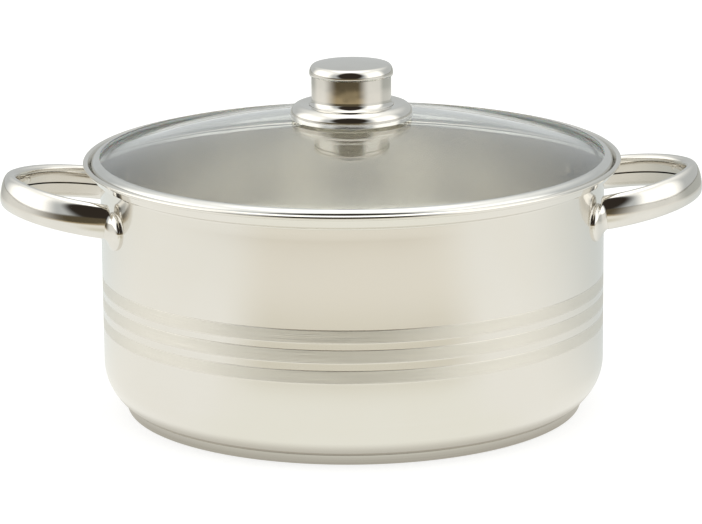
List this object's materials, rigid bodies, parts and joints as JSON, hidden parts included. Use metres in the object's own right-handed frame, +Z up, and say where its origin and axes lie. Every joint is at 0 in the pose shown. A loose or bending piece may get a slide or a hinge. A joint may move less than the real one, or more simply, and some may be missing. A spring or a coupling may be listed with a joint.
{
  "type": "stew pan with glass lid",
  "caption": "Wide stainless steel stew pan with looped side handles, sandwich base and a lift-off domed glass lid with a round steel knob.",
  "frame": {"origin": "centre of the base's flat underside", "axes": "+Z up, +X along the line through both handles, +Y towards the back"},
  "size_m": [0.3382, 0.258, 0.1674],
  "materials": {
    "polished_steel": "mirror polished outside with three satin bands, satin inside",
    "handle_steel": "mirror polished",
    "band_steel": "polished",
    "knob_steel": "mirror polished",
    "fastener_steel": "plain",
    "aluminium": "rolled",
    "tempered_glass": "clear with a slight green tint",
    "silicone": "translucent white",
    "moulded_core": "moulded",
    "brass": "turned"
  },
  "bodies": {
    "pan": {"pan_body": "polished_steel", "heat_spreader": "aluminium", "base_cap": "polished_steel", "left_handle": "handle_steel", "right_handle": "handle_steel", "left_front_foot": "handle_steel", "left_rear_foot": "handle_steel", "right_front_foot": "handle_steel", "right_rear_foot": "handle_steel"},
    "lid": {"lid_glass": "tempered_glass", "lid_edge_seal": "silicone", "lid_rim_band": "band_steel", "knob_bezel": "knob_steel", "knob_shell": "knob_steel", "knob_cap": "knob_steel", "knob_core": "moulded_core", "knob_insert": "brass", "knob_screw": "fastener_steel", "knob_washer": "fastener_steel", "knob_upper_seal": "silicone", "knob_lower_seal": "silicone"}
  },
  "joints": [
    {"name": "lid_lift", "type": "slide", "parent": "pan", "child": "lid", "axis": [0, 0, 1], "range_m": [0, 0.15]}
  ]
}
